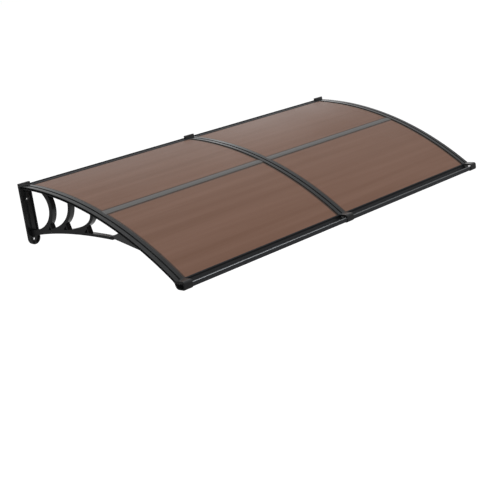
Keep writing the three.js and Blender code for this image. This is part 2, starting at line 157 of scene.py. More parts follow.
def pushed(name, loops, near, far, place, keep=lambda inside: inside == {0}, edge=0.0):
    """Solid of a flat shape pushed from near to far, with rounded edges if edge is given. keep tells, from
    the numbers of the loops around a spot, whether the shape has it: as a rule where only the first is."""
    points, faces = [], []
    for loop in loops:
        loop = [Vector(p) for p in loop]
        if sum(a.cross(b) for a, b in zip(loop, loop[1:] + loop[:1])) < 0:
            loop.reverse()
        faces.append(range(len(points), len(points) + len(loop)))
        points += loop
    points, _, made, _, _, inside = delaunay_2d_cdt(points, [], [list(f) for f in faces], 0, 1e-4)
    bm = bmesh.new()
    verts = [bm.verts.new((p.x, p.y, near)) for p in points]
    for face, ids in zip(made, inside):
        if keep(set(ids)):
            bm.faces.new([verts[i] for i in face])
    bmesh.ops.delete(bm, geom=[v for v in bm.verts if not v.link_faces], context="VERTS")
    bmesh.ops.dissolve_limit(bm, angle_limit=1e-3, verts=bm.verts, edges=bm.edges)
    bmesh.ops.remove_doubles(bm, verts=bm.verts, dist=0.02)
    grown = bmesh.ops.extrude_face_region(bm, geom=bm.faces[:])["geom"]
    far_side = [v for v in grown if isinstance(v, bmesh.types.BMVert)]
    bmesh.ops.translate(bm, vec=(0, 0, far - near), verts=far_side)
    bmesh.ops.recalc_face_normals(bm, faces=bm.faces)
    if edge:
        flat = {f for f in bm.faces if abs(f.normal.z) > 0.9}
        rims = [e for e in bm.edges if sum(f in flat for f in e.link_faces) == 1]
        bmesh.ops.bevel(
            bm, geom=rims, offset=edge, segments=3, profile=0.5, affect="EDGES", clamp_overlap=False
        )
    for v in bm.verts:
        v.co = place(*v.co)
    return shown(name, bm)


def plate_outline(inset, top, corner):
    """Tongue seen from the front: square at its top, with a half circle as its lower end."""
    half = PLATE_W / 2 - inset
    middle = PLATE_W / 2 - PLATE_BOTTOM
    turns = [math.pi * k / 40 for k in range(41)]
    foot = [Vector((half * math.cos(t), middle - half * math.sin(t))) for t in turns]
    square = [(-half, top, corner), (half, top, corner), (half, middle, 0), (-half, middle, 0)]
    return rounded(square)[:-2] + foot


def carved(base, add=(), cut=()):
    """Base with solids joined on and others cut away, as one plain mesh. The others are used up."""
    for operation, others in (("UNION", add), ("DIFFERENCE", cut)):
        for other in others:
            step = base.modifiers.new(other.name, "BOOLEAN")
            step.operation, step.solver, step.object = operation, "MANIFOLD", other
    bpy.context.view_layer.update()
    whole = base.evaluated_get(bpy.context.evaluated_depsgraph_get())
    mesh = bpy.data.meshes.new_from_object(whole)
    base.modifiers.clear()
    base.data = mesh
    for other in (*add, *cut):
        bpy.data.objects.remove(other)
    return base


def wall_plate():
    body = pushed("plate", [plate_outline(0, PLATE_TOP, 2.5)], 0, PLATE_D, seen_from_front, edge=1.2)
    sunk = plate_outline(PLATE_RIM, -SUNK_TOP, 2)
    half = PLATE_RIB / 2
    rib = [(-half, 0), (-half, -PLATE_BOTTOM), (half, -PLATE_BOTTOM), (half, 0)]
    discs = [circle((0, -depth), BOSS_R) for depth in BOLTS]
    beyond = PLATE_D + 4
    tools = [
        pushed("sunk", [sunk, rib, *discs], PLATE_FLOOR, beyond, seen_from_front, edge=1),
        pushed("boss", discs[1:], PLATE_FLOOR + BOSS_RISE, beyond, seen_from_front, edge=0.8),
        pushed("bores", [circle((0, -d), BOLT_R) for d in BOLTS], -1, beyond, seen_from_front, bool),
    ]
    return carved(body, cut=tools)


# Scroll work, moulded with the bracket: three crescents under the arm, each on a foot with a sunk triangle
# in both sides, a bowed strut from the plate to a round end, and a thin web from there to the arm. Inner
# edges and the strut are curves through control points (distance out, depth), and outer edges are arcs.
SCROLL_W = 24
SCROLLS = [
    {
        "inner": [(118, 14), (226, 72), (169, 202), (4, 200)],
        "outer": (96, 90, 100),
        "ankle": (163, 165),
        "heel": (171, 192),
    },
    {
        "inner": [(311, 42), (325, 138), (215, 180), (140, 187)],
        "outer": (219, 59, 111),
        "ankle": (275, 156),
        "heel": (285, 188),
    },
    {
        "inner": [(452, 84), (463, 141), (399, 163), (250, 185)],
        "outer": (382, 61, 103),
        "ankle": (417, 159),
        "heel": (425, 188),
    },
]
# Outer arcs end at 40 degrees over the level, feet are drawn down to GROUND before the strut cuts them off,
# and roots are what goes into the arm.
ARC_END = math.radians(40)
GROUND = 300
SCROLL_ROOT = 2
RELIEF = 7
RELIEF_TOP = 7
RELIEF_H = 25
RELIEF_L = 22
RELIEF_R = 1.5
ANKLE_RIM = 4
HEEL_RIM = 7
STRUT = [(4, 229), (189, 192), (395, 191), (574, 202)]
STRUT_T = 12
SPANDREL_W = 20
SPANDREL_BACK = 44
SPANDREL_TIP = 54
SPANDREL_END = 205
SPANDREL_ROOT = 3


def curved(points, rise=0):
    """Cubic curve through the side view from four control points (distance out, depth)."""
    a, b, c, d = (Vector((out, rise - depth)) for out, depth in points)
    return [
        a * (1 - t) ** 3 + b * 3 * t * (1 - t) ** 2 + c * 3 * t * t * (1 - t) + d * t**3
        for t in (k / 40 for k in range(41))
    ]


def bowed(a, b, c):
    """Curve from a to c that sets out towards b and arrives from it."""
    return [a * (1 - t) ** 2 + b * 2 * t * (1 - t) + c * t * t for t in (k / 16 for k in range(17))]


def under_arm(start, end, depth, steps=60):
    """Points from one length along the arm to another, all at one depth."""
    return [Vector(on_arch(start + (end - start) * k / steps, depth)) for k in range(steps + 1)]


def scroll(inner, outer, ankle, heel):
    """One crescent with its foot, cut to the room from inside the arm's underside to the strut's middle."""
    out, depth, r = outer
    start = math.atan2(depth - ankle[1], ankle[0] - out)
    turns = [start + (ARC_END - start) * k / 32 for k in range(33)]
    arc = [(out + r * math.cos(t), r * math.sin(t) - depth) for t in turns]
    foot = [(inner[3][0], -GROUND), (heel[0], -GROUND), (heel[0], -heel[1])]
    room = under_arm(length_at(PLATE_D, 0), length_at(STRUT[3][0], 0), ARM_DEPTH - SCROLL_ROOT)
    room += curved(STRUT, STRUT_T / 2)[::-1]
    half = SCROLL_W / 2
    loops = [room, curved(inner) + foot + arc]
    return pushed("scroll", loops, -half, half, seen_from_side, lambda ids: ids == {0, 1}, 0.8)


def reliefs():
    """The sunk triangles of the three feet, one solid for each side of the bracket."""
    triangles = []
    for parts in SCROLLS:
        ankle, top = parts["ankle"]
        high, low = -top - RELIEF_TOP, -top - RELIEF_H
        heel = parts["heel"][0]
        spots = [(ankle - ANKLE_RIM, high), (heel - HEEL_RIM, low), (ankle - RELIEF_L, low)]
        triangles.append(rounded([(*spot, RELIEF_R) for spot in spots]))
    half = SCROLL_W / 2
    return [
        pushed("relief", triangles, turn * (half - RELIEF), turn * (half + 3), seen_from_side, bool, 0.6)
        for turn in (-1, 1)
    ]


def strut():
    half = SCROLL_W / 2
    end = Vector((STRUT[3][0], STRUT_T / 2 - STRUT[3][1]))
    loops = [curved(STRUT) + curved(STRUT, STRUT_T)[::-1], circle(end, STRUT_T / 2)]
    return pushed("strut", loops, -half, half, seen_from_side, bool, 0.8)


def spandrel():
    """The web between the strut's round end and the arm."""
    end = Vector((STRUT[3][0], -STRUT[3][1]))
    start, last = (length_at(end.x + beyond, ARM_DEPTH) for beyond in (SPANDREL_TIP, SPANDREL_END))
    top = under_arm(start, last, ARM_DEPTH - SPANDREL_ROOT, 24)
    back = end + Vector((-SPANDREL_BACK, STRUT_T))
    hollow = bowed(back, end + Vector((0, STRUT_T)), top[0])
    into_strut = Vector((0, STRUT_T / 2))
    web = [end + into_strut, back - into_strut, *hollow, *top[1:]]
    return pushed("spandrel", [web], -SPANDREL_W / 2, SPANDREL_W / 2, seen_from_side, edge=0.8)


# Collar of a bracket, the moulding's front end: a rounded block into which the gutters slide, with a channel
# through it as wide as their troughs, so that the two troughs are one.
GUTTER_FRONT = 975
GUTTER_FLOOR = 367
GUTTER_RIM = 349
GUTTER_T = 2
RIM_R = 2.8
TROUGH_R = 20
TROUGH_LEAN = 3
BAR_T = 1.2
FREE = 0.3
SHEET_END = arm_length - 8
LIP_TOP = SLOT_TOP - BAR_T
LIP_BOTTOM = SLOT_BOTTOM + BAR_T
COLLAR_WALL = 4
COLLAR_R = 11
COLLAR_TOP = 14
COLLAR_BACK = 12
COLLAR_THROAT = 30
COLLAR_SLOPE = 18
clip_front = SHEET_END + FREE + BAR_T
clip_foot = Vector(on_arch(clip_front, SLOT_BOTTOM))


def trough_back(grow):
    """Rounding of the trough's back, from the clip down to the floor, grown outwards by a distance."""
    floor = GUTTER_T - GUTTER_FLOOR - grow
    high = clip_foot - Vector((grow, grow / 2))
    corner = Vector((clip_foot.x + TROUGH_LEAN - grow, floor))
    return bowed(high, corner, Vector((clip_foot.x + TROUGH_R - grow / 2, floor)))


def collar():
    front = GUTTER_FRONT + COLLAR_WALL
    top = COLLAR_TOP - GUTTER_RIM
    bottom = -GUTTER_FLOOR - COLLAR_WALL
    start = Vector(on_arch(arm_length - COLLAR_BACK, 1))
    throat = on_arch(arm_length - COLLAR_THROAT, ARM_DEPTH - 1)
    back = [Vector((p.x, max(p.y, bottom))) for p in trough_back(GUTTER_T + COLLAR_WALL)]
    outline = [(*start, 0), (*throat, 0), *((*p, 0) for p in back)]
    outline += [(front, bottom, COLLAR_R), (front, top, COLLAR_R), (start.x + COLLAR_SLOPE, top, 6)]
    return pushed("collar", [rounded(outline, 12)], -ARM_W / 2, ARM_W / 2, seen_from_side, edge=1.5)


# Pockets in a bracket's sides take the ends of the rear bar, the joining bar, the sheets and the gutter,
# with 0.3 to spare. The end brackets have them only on the side where the bars are.
REAR_LIP = 32
REAR_EDGE = 18
REAR_RISE = 2
WALL_GAP = 0.5
JOINT_W = 28
JOINT_WEB = 2
LOWER_LIP = 16
UPPER_LIP = 4
SLOT_BACK = 60
joint_at = (REAR_EDGE + SHEET_END) / 2
channel_top = max(RIM_R - GUTTER_RIM, clip_foot.y) + 1


def stretch(start, end, top, bottom, steps=24):
    """Outline of a band that follows the arch between two depths."""
    return under_arm(start, end, top, steps) + under_arm(start, end, bottom, steps)[::-1]


def pockets(side):
    """What the bars and sheets take out of one side of a bracket, with 1 to 3 past the lips' ends."""
    near, far = sorted((side * WEB_W / 2, side * (PLATE_W / 2 + 1)))
    top, bottom = LIP_TOP - FREE, LIP_BOTTOM + FREE
    leaf = WALL_GAP + BAR_T + FREE
    rear = [(-1, -bottom), (-1, REAR_RISE + FREE), (leaf, REAR_RISE + FREE), on_arch(leaf, top)]
    rear += [on_arch(REAR_LIP + 1, top), on_arch(REAR_LIP + 1, bottom)]
    half = JOINT_W / 2 + FREE
    loops = [rear, stretch(joint_at - half, joint_at + half, top, bottom)]
    loops.append(stretch(SHEET_END - LOWER_LIP - 1, clip_front + 3, top, bottom))
    loops.append(stretch(arm_length - SLOT_BACK, SHEET_END, SLOT_TOP, SLOT_BOTTOM))
    front, top = GUTTER_FRONT + FREE, channel_top + FREE
    trough = [*trough_back(GUTTER_T + FREE), (front, -GUTTER_FLOOR - FREE)]
    trough += [(front, top), (clip_foot.x - 2, top)]
    return pushed("pockets", [*loops, trough], near, far, seen_from_side, bool)


def channel():
    """The way from trough to trough through a collar."""
    front = GUTTER_FRONT - GUTTER_T
    loop = [*trough_back(0), (front, GUTTER_T - GUTTER_FLOOR)]
    loop += [(front, channel_top), (clip_foot.x, channel_top)]
    return pushed("channel", [loop], -PLATE_W / 2, PLATE_W / 2, seen_from_side)


# The three brackets, a metre apart. They are one moulding three times, and differ only in the sides that
# have pockets. Their outer sides are rougher than their tops, and painted darker as shade.
BAY = 1000


def linear(colour):
    """Linear red, green, blue and alpha of an sRGB hex colour."""
    parts = [int(colour[i : i + 2], 16) / 255 for i in (1, 3, 5)]
    return (*(c / 12.92 if c <= 0.04045 else ((c + 0.055) / 1.055) ** 2.4 for c in parts), 1)


def add(tree, kind, settings=None, inputs=None):
    """Node with its settings, and its inputs given as values or as the sockets they are linked to."""
    made = tree.nodes.new(kind)
    for name, value in (settings or {}).items():
        setattr(made, name, value)
    for name, value in (inputs or {}).items():
        if isinstance(value, bpy.types.NodeSocket):
            tree.links.new(value, made.inputs[name])
        else:
            made.inputs[name].default_value = value
    return made


def emptied(name):
    """New material with its nodes cleared away, and its tree."""
    material = bpy.data.materials.new(name)
    material.use_nodes = True
    material.node_tree.nodes.clear()
    return material, material.node_tree


def mottled(name, noise, gloss, tones, shading, relief=None, stretch=None):
    """Material whose roughness and colour go between two values as one noise does. Its relief is a noise, a
    strength and a depth in metres, and a stretch draws the noise out along the wall."""
    material, tree = emptied(name)
    place = add(tree, "ShaderNodeTexCoord").outputs["Object"]
    if stretch:
        place = add(tree, "ShaderNodeMapping", inputs={"Vector": place, "Scale": stretch}).outputs[0]
    spots = add(tree, "ShaderNodeTexNoise", inputs={"Vector": place, **noise}).outputs["Fac"]
    rough = add(tree, "ShaderNodeMapRange", inputs={"Value": spots, "To Min": gloss[0], "To Max": gloss[1]})
    between = {"Factor": spots, "A": linear(tones[0]), "B": linear(tones[1])}
    tint = add(tree, "ShaderNodeMix", {"data_type": "RGBA"}, between)
    inputs = {"Base Color": tint.outputs["Result"], "Roughness": rough.outputs["Result"], **shading}
    if relief:
        grain = add(tree, "ShaderNodeTexNoise", inputs={"Vector": place, **relief[0]}).outputs["Fac"]
        raised = {"Strength": relief[1], "Distance": relief[2], "Height": grain}
        inputs["Normal"] = add(tree, "ShaderNodeBump", inputs=raised).outputs["Normal"]
    shader = add(tree, "ShaderNodeBsdfPrincipled", inputs=inputs)
    add(tree, "ShaderNodeOutputMaterial", inputs={"Surface": shader.outputs["BSDF"]})
    return material


# Satin black injection-moulded polypropylene. The mould's fine grain softens highlights, and slow changes in
# gloss show how the melt flowed. The grain is about 0.3 and is drawn at 1.5.
black_plastic = mottled(
    "black_polypropylene_moulded_satin",
    noise={"Scale": 14, "Detail": 3, "Roughness": 0.55},
    gloss=(0.17, 0.28),
    tones=("#171819", "#1e1f20"),
    shading={"IOR": 1.49, "Specular IOR Level": 0.2},
    relief=({"Scale": 650, "Detail": 2, "Roughness": 0.6}, 0.15, 0.0002),
)

# The same plastic off the mould's side walls, which are spark-eroded coarsely so that the piece comes off
# them. It hardly shines, and its darker colour is painted shade: the brackets look nearly black from the
# side.
coarse = {"Scale": 420, "Detail": 3, "Roughness": 0.7}
black_sides_painted_shade = mottled(
    "black_polypropylene_coarse_painted_shade",
    noise=coarse,
    gloss=(0.5, 0.7),
    tones=("#0b0b0c", "#121213"),
    shading={"IOR": 1.49, "Specular IOR Level": 0.12},
    relief=(coarse, 0.5, 0.0003),
)


def finished(made, material):
    """Smooth shading up to edges of 30 degrees, with the normals of large faces kept, and the material."""
    made.data.shade_smooth()
    made.data.set_sharp_from_angle(angle=math.radians(30))
    even = made.modifiers.new("normals", "WEIGHTED_NORMAL")
    even.keep_sharp = True
    bpy.context.view_layer.update()
    mesh = bpy.data.meshes.new_from_object(made.evaluated_get(bpy.context.evaluated_depsgraph_get()))
    made.modifiers.clear()
    made.data = mesh
    mesh.materials.clear()
    mesh.materials.append(material)


# The coarse finish, with its painted shade, is on the outer sides and under the collar. What lies nearer to a
# bracket's middle than this, in the groove, in the slots and on the web, is satin like the top.
COARSE_SHADED_FROM = 11
scrolls = [scroll(**parts) for parts in SCROLLS]
scroll_work = carved(strut(), scrolls, reliefs())
moulding = carved(arm(), [wall_plate(), scroll_work, spandrel(), collar()], [channel()])
for name, x, barred in (("left", -BAY, [1]), ("middle", 0, [-1, 1]), ("right", BAY, [-1])):
    bracket = bpy.data.objects.new(f"moulded_bracket_{name}", moulding.data.copy())
    bpy.context.scene.collection.objects.link(bracket)
    finished(carved(bracket, cut=[pockets(side) for side in barred]), black_plastic)
    bracket.data.materials.append(black_sides_painted_shade)
    for face in bracket.data.polygons:
        on_side = abs(face.normal.x) > 0.7 and abs(face.center.x) > COARSE_SHADED_FROM / 1000
        under_collar = face.center.y < -REACH / 1000 and face.normal.z < 0.5
        face.material_index = on_side or under_collar
    bracket.data.transform(Matrix.Translation((x / 1000, 0, 0)))
    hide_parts(f"bracket_{name}")
    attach(bracket, "root")
bpy.data.objects.remove(moulding)

# Rear bars, one to each bay, screwed up into the brackets at the wall. Each is an extruded aluminium section
# with a dark powder coat: a leaf on the wall, lips over and under the sheets' rear edge, and a stop for it.
END_X = 10
bays = {"left": (END_X - BAY, -END_X), "right": (END_X, BAY - END_X)}
# The coat is matt: its fine texture, about 1 across, spreads what little it reflects, also at a flat angle.
dark_coat = mottled(
    "aluminium_powder_coated_dark_grey",
    noise={"Scale": 9, "Detail": 3},
    gloss=(0.5, 0.6),
    tones=("#212224", "#292a2c"),
    shading={"IOR": 1.5, "Specular IOR Level": 0.05},
    relief=({"Scale": 900, "Detail": 1}, 0.2, 0.0002),
)


def laid(kind, loops, material):
    """One extrusion to each bay, standing for the bays' nodes of that kind."""
    bars = []
    for bay, (near, far) in bays.items():
        bar = pushed(f"{kind}_{bay}_extrusion", loops, near, far, seen_from_side)
        finished(bar, material)
        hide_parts(f"{kind}_{bay}")
        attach(bar, "root")
        bars.append(bar)
    return bars


leaf = WALL_GAP + BAR_T
stop = REAR_EDGE - FREE
corners = [(WALL_GAP, -LIP_BOTTOM, 0.4), (WALL_GAP, REAR_RISE, 0.5), (leaf, REAR_RISE, 0.5)]
corners += [(*on_arch(leaf, LIP_TOP), 0), (*on_arch(REAR_LIP, LIP_TOP), 0.5)]
corners += [(*on_arch(REAR_LIP, SLOT_TOP), 0.4), (*on_arch(stop, SLOT_TOP), 0)]
corners += [(*on_arch(stop, SLOT_BOTTOM), 0), (*on_arch(REAR_LIP, SLOT_BOTTOM), 0.4)]
corners.append((*on_arch(REAR_LIP, LIP_BOTTOM), 0.5))
hollow = stretch(leaf, stop - BAR_T, SLOT_TOP, SLOT_BOTTOM, 3)
laid("rear_bar", [rounded(corners, 4), hollow], dark_coat)


# Sheets, two to each bay, pushed into the arms' side slots. Each is an extruded panel of brown
# polycarbonate, two skins joined by thin webs and 5 thick in all. Its cells run along the wall, about 6
# wide. It is bent cold to the arch when the canopy is put together.
SHEET_T = 5
SHEET_SKIN = 0.6
SHEET_WEB = 0.5
SHEET_TOP = 3.2
CELL = 5.8
sheet_tree = bpy.data.node_groups.new("arched_hollow_sheet", "GeometryNodeTree")
for name, kind in (
    ("Start", "NodeSocketFloat"),
    ("End", "NodeSocketFloat"),
    ("Cells", "NodeSocketInt"),
    ("Near side", "NodeSocketFloat"),
    ("Far side", "NodeSocketFloat"),
    ("Top depth", "NodeSocketFloat"),
    ("Thickness", "NodeSocketFloat"),
    ("Skin", "NodeSocketFloat"),
    ("Web", "NodeSocketFloat"),
    ("Arch radius", "NodeSocketFloat"),
    ("Wall angle", "NodeSocketFloat"),
    ("Crest back", "NodeSocketFloat"),
    ("Centre height", "NodeSocketFloat"),
    ("Material", "NodeSocketMaterial"),
):
    sheet_tree.interface.new_socket(name=name, in_out="INPUT", socket_type=kind)
sheet_tree.interface.new_socket(name="Geometry", in_out="OUTPUT", socket_type="NodeSocketGeometry")
size = add(sheet_tree, "NodeGroupInput").outputs
spot = add(sheet_tree, "GeometryNodeInputPosition").outputs[0]
flat = add(sheet_tree, "ShaderNodeSeparateXYZ", inputs={0: spot}).outputs
layer = add(sheet_tree, "GeometryNodeIndexSwitch", {"data_type": "FLOAT"})
layer.index_switch_items.new()
layer.index_switch_items.new()

# The section starts as a flat grid, one by one, with two columns for each web and a row for each face of
# the two skins. These steps work out, for each of its spots, what is hollow and where it goes on the arch.
known = {socket.name: socket for socket in size}
known.update({"x": flat["X"], "y": flat["Y"], "layer": layer.outputs[0]})
for result, operation, *operands in (
    ("faces across", "MULTIPLY_ADD", "Cells", 2.0, 1.0),
    ("columns", "ADD", "faces across", 1.0),
    ("from left", "ADD", "x", 0.5),
    ("across", "MULTIPLY", "from left", "faces across"),
    ("from below", "ADD", "y", 0.5),
    ("upward", "MULTIPLY", "from below", 3.0),
    ("face", "FLOOR", "across"),
    ("odd", "MODULO", "face", 2.0),
    ("in middle", "COMPARE", "upward", 1.5, 0.25),
    ("hole", "MULTIPLY", "odd", "in middle"),
    ("hollow", "GREATER_THAN", "hole", 0.5),
    ("column", "ROUND", "across"),
    ("pair", "DIVIDE", "column", 2.0),
    ("cell", "FLOOR", "pair"),
    ("width", "SUBTRACT", "End", "Start"),
    ("pitch", "DIVIDE", "width", "Cells"),
    ("half", "MODULO", "column", 2.0),
    ("side", "SUBTRACT", "half", 0.5),
    ("edge", "MULTIPLY_ADD", "side", "Web", "Start"),
    ("further", "MULTIPLY_ADD", "pitch", "cell", "edge"),
    ("from start", "MAXIMUM", "further", "Start"),
    ("length", "MINIMUM", "from start", "End"),
    ("row", "ROUND", "upward"),
    ("under top skin", "SUBTRACT", "Thickness", "Skin"),
    ("under", "ADD", "Top depth", "layer"),
    ("turn", "DIVIDE", "length", "Arch radius"),
    ("angle", "ADD", "turn", "Wall angle"),
    ("ray", "SUBTRACT", "Arch radius", "under"),
    ("sine", "SINE", "angle"),
    ("cosine", "COSINE", "angle"),
    ("out", "MULTIPLY", "ray", "sine"),
    ("rise", "MULTIPLY", "ray", "cosine"),
    ("bent y", "SUBTRACT", "Crest back", "out"),
    ("bent z", "ADD", "rise", "Centre height"),
    ("push", "SUBTRACT", "Far side", "Near side"),
):
    inputs = {i: known.get(value, value) for i, value in enumerate(operands)}
    known[result] = add(sheet_tree, "ShaderNodeMath", {"operation": operation}, inputs).outputs[0]
for item, value in enumerate(("row", "Thickness", "under top skin", "Skin")):
    sheet_tree.links.new(known[value], layer.inputs[item])
grid = add(
    sheet_tree,
    "GeometryNodeMeshGrid",
    inputs={"Size X": 1.0, "Size Y": 1.0, "Vertices X": known["columns"], "Vertices Y": 4},
)
section = add(
    sheet_tree,
    "GeometryNodeDeleteGeometry",
    {"domain": "FACE"},
    {"Geometry": grid.outputs["Mesh"], "Selection": known["hollow"]},
)

# The section is laid on the arch, pushed along the wall, and closed with a turned copy of itself. Its
# lengths along the arch and the numbers of its cells are kept for the material.
for name, value in (("arc", "length"), ("cell", "cell")):
    section = add(
        sheet_tree,
        "GeometryNodeStoreNamedAttribute",
        {"data_type": "FLOAT", "domain": "POINT"},
        {"Geometry": section.outputs[0], "Name": name, "Value": known[value]},
    )
place = add(
    sheet_tree,
    "ShaderNodeCombineXYZ",
    inputs={"X": size["Near side"], "Y": known["bent y"], "Z": known["bent z"]},
)
bent = add(
    sheet_tree,
    "GeometryNodeSetPosition",
    inputs={"Geometry": section.outputs[0], "Position": place.outputs[0]},
)
along_wall = add(sheet_tree, "ShaderNodeCombineXYZ", inputs={"X": 1.0})
grown = add(
    sheet_tree,
    "GeometryNodeExtrudeMesh",
    {"mode": "FACES"},
    {
        "Mesh": bent.outputs[0],
        "Offset": along_wall.outputs[0],
        "Offset Scale": known["push"],
        "Individual": False,
    },
)
turned = add(sheet_tree, "GeometryNodeFlipFaces", inputs={"Mesh": bent.outputs[0]})
both = add(sheet_tree, "GeometryNodeJoinGeometry")
sheet_tree.links.new(turned.outputs[0], both.inputs[0])
sheet_tree.links.new(grown.outputs["Mesh"], both.inputs[0])
closed = add(
    sheet_tree,
    "GeometryNodeMergeByDistance",
    inputs={"Geometry": both.outputs[0], "Distance": 1e-5},
)
real = add(sheet_tree, "GeometryNodeRealizeInstances", inputs={"Geometry": closed.outputs[0]})
coloured = add(
    sheet_tree,
    "GeometryNodeSetMaterial",
    inputs={"Geometry": real.outputs[0], "Material": size["Material"]},
)
add(sheet_tree, "NodeGroupOutput", inputs={"Geometry": coloured.outputs[0]})

# Brown clear polycarbonate with a thin outer layer that keeps out ultraviolet. It shines softly, and against
# the light it glows a little.
brown_sheet, tree = emptied("brown_polycarbonate_extruded_hollow")
place = add(tree, "ShaderNodeTexCoord").outputs["Object"]
known = {
    "along": add(tree, "ShaderNodeSeparateXYZ", inputs={0: place}).outputs["X"],
    "arc": add(tree, "ShaderNodeAttribute", {"attribute_name": "arc"}).outputs["Fac"],
    "cells": add(tree, "ShaderNodeAttribute", {"attribute_name": "cell"}).outputs["Fac"],
}
for result, operation, *operands in (
    ("long", "MULTIPLY", "along", 0.7),
    ("wide", "MULTIPLY", "arc", 26.0),
    ("from web", "PINGPONG", "cells", 0.5),
    ("from end", "PINGPONG", "along", BAY / 2000),
    ("past joint", "SUBTRACT", "arc", joint_at / 1000),
    ("from joint", "ABSOLUTE", "past joint"),
):
    inputs = {i: known.get(value, value) for i, value in enumerate(operands)}
    known[result] = add(tree, "ShaderNodeMath", {"operation": operation}, inputs).outputs[0]
# Extrusion streaks run the way of the cells, over a metre long and some 40 across. They shift the brown.
drawn = add(tree, "ShaderNodeCombineXYZ", inputs={"X": known["long"], "Y": known["wide"]}).outputs[0]
streak = add(
    tree,
    "ShaderNodeTexNoise",
    inputs={"Vector": drawn, "Scale": 1.0, "Detail": 3, "Roughness": 0.6},
)
shift = add(
    tree,
    "ShaderNodeMapRange",
    inputs={"Value": streak.outputs["Fac"], "From Min": 0.3, "From Max": 0.7},
)
brown = add(
    tree,
    "ShaderNodeMix",
    {"data_type": "RGBA"},
    {"Factor": shift.outputs[0], "A": linear("#684a3a"), "B": linear("#735546")},
)
# Each web shows through the skin as a faint line, 0.5 wide in the real sheet and drawn 1.5 wide.
web = add(
    tree,
    "ShaderNodeMapRange",
    {"interpolation_type": "SMOOTHSTEP"},
    {"Value": known["from web"], "From Min": 0.04, "From Max": 0.16, "To Min": 1.0, "To Max": 0.0},
)
faint = add(tree, "ShaderNodeMath", {"operation": "MULTIPLY"}, {0: web.outputs[0], 1: 0.3})
lined = add(
    tree,
    "ShaderNodeMix",
    {"data_type": "RGBA"},
    {"Factor": faint.outputs[0], "A": brown.outputs["Result"], "B": linear("#5a4033")},
)
# Painted shade: beside what touches the panel from below, the arms along its ends, the joining bar and the
# rear bar, the brown is darkened towards near black. It stands in for their shadow and for their lower
# flanges and lips seen dimly through the panel. Each dark line fades out between two distances, which are in
# metres.
through = 0.0
for distance, near, far, strength in (
    ("from end", 0.029, 0.038, 0.9),
    ("from joint", 0.018, 0.028, 0.8),
    ("arc", 0.034, 0.041, 0.9),
):
    band = add(
        tree,
        "ShaderNodeMapRange",
        {"interpolation_type": "SMOOTHSTEP"},
        {"Value": known[distance], "From Min": near, "From Max": far, "To Min": strength, "To Max": 0.0},
    )
    larger = add(tree, "ShaderNodeMath", {"operation": "MAXIMUM"}, {0: band.outputs[0], 1: through})
    through = larger.outputs[0]
shaded = add(
    tree,
    "ShaderNodeMix",
    {"data_type": "RGBA"},
    {"Factor": through, "A": lined.outputs["Result"], "B": linear("#17120f")},
)
# The skins sink slightly between the webs and the bent panel is never quite even, so reflections waver.
cloud = add(tree, "ShaderNodeTexNoise", inputs={"Vector": place, "Scale": 2.3, "Detail": 2})
height = add(
    tree,
    "ShaderNodeMath",
    {"operation": "MULTIPLY_ADD"},
    {0: web.outputs[0], 1: 0.05, 2: cloud.outputs["Fac"]},
)
bump = add(tree, "ShaderNodeBump", inputs={"Strength": 0.6, "Distance": 0.002, "Height": height.outputs[0]})
gloss = add(
    tree,
    "ShaderNodeMapRange",
    inputs={"Value": cloud.outputs["Fac"], "To Min": 0.36, "To Max": 0.48},
)
shader = add(
    tree,
    "ShaderNodeBsdfPrincipled",
    inputs={
        "Base Color": shaded.outputs["Result"],
        "Roughness": gloss.outputs["Result"],
        "IOR": 1.58,
        "Specular IOR Level": 0.15,
        "Normal": bump.outputs["Normal"],
    },
)
glow = add(tree, "ShaderNodeBsdfTranslucent", inputs={"Color": linear("#8a5f45")})
# Where the shade is painted, less light glows through the panel.
shine_through = add(tree, "ShaderNodeMapRange", inputs={"Value": through, "To Min": 0.15, "To Max": 0.0})
surface = add(
    tree,
    "ShaderNodeMixShader",
    inputs={0: shine_through.outputs[0], 1: shader.outputs[0], 2: glow.outputs[0]},
)
add(tree, "ShaderNodeOutputMaterial", inputs={"Surface": surface.outputs[0]})


def from_tree(name, tree, base, values):
    """Plain mesh of a geometry tree run on a base mesh, with its named inputs set."""
    made = bpy.data.objects.new(name, base)
    bpy.context.scene.collection.objects.link(made)
    step = made.modifiers.new(name, "NODES")
    step.node_group = tree
    for item in tree.interface.items_tree:
        if item.in_out == "INPUT" and item.name in values:
            step[item.identifier] = values[item.name]
    bpy.context.view_layer.update()
    mesh = bpy.data.meshes.new_from_object(made.evaluated_get(bpy.context.evaluated_depsgraph_get()))
    made.modifiers.clear()
    bm = bmesh.new()
    bm.from_mesh(mesh)
    bmesh.ops.recalc_face_normals(bm, faces=bm.faces)
    bm.to_mesh(mesh)
    bm.free()
    made.data = mesh
    return made


rows = {
    "rear": (REAR_EDGE, joint_at - JOINT_WEB / 2 - FREE),
    "front": (joint_at + JOINT_WEB / 2 + FREE, SHEET_END),
}
for bay, (near, far) in bays.items():
    for row, (start, end) in rows.items():
        values = {
            "Start": start / 1000,
            "End": end / 1000,
            "Cells": round((end - start) / CELL),
            "Near side": near / 1000,
            "Far side": far / 1000,
            "Top depth": SHEET_TOP / 1000,
            "Thickness": SHEET_T / 1000,
            "Skin": SHEET_SKIN / 1000,
            "Web": SHEET_WEB / 1000,
            "Arch radius": arch_radius / 1000,
            "Wall angle": wall_angle,
            "Crest back": CREST_BACK / 1000,
            "Centre height": (ORIGIN_DEPTH - arch_depth) / 1000,
            "Material": brown_sheet,
        }
        sheet = from_tree(f"{row}_panel_{bay}", sheet_tree, bpy.data.meshes.new("empty"), values)
        finished(sheet, brown_sheet)
        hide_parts(f"sheet_{row}_{bay}")
        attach(sheet, "root")


# Joining bars, one to each bay, between the rear and the front sheet. Each is an extruded H section of grey
# anodised aluminium whose lips lie over and under the sheets' edges. The upper lip thins towards its sides.
CROWN = 0.6
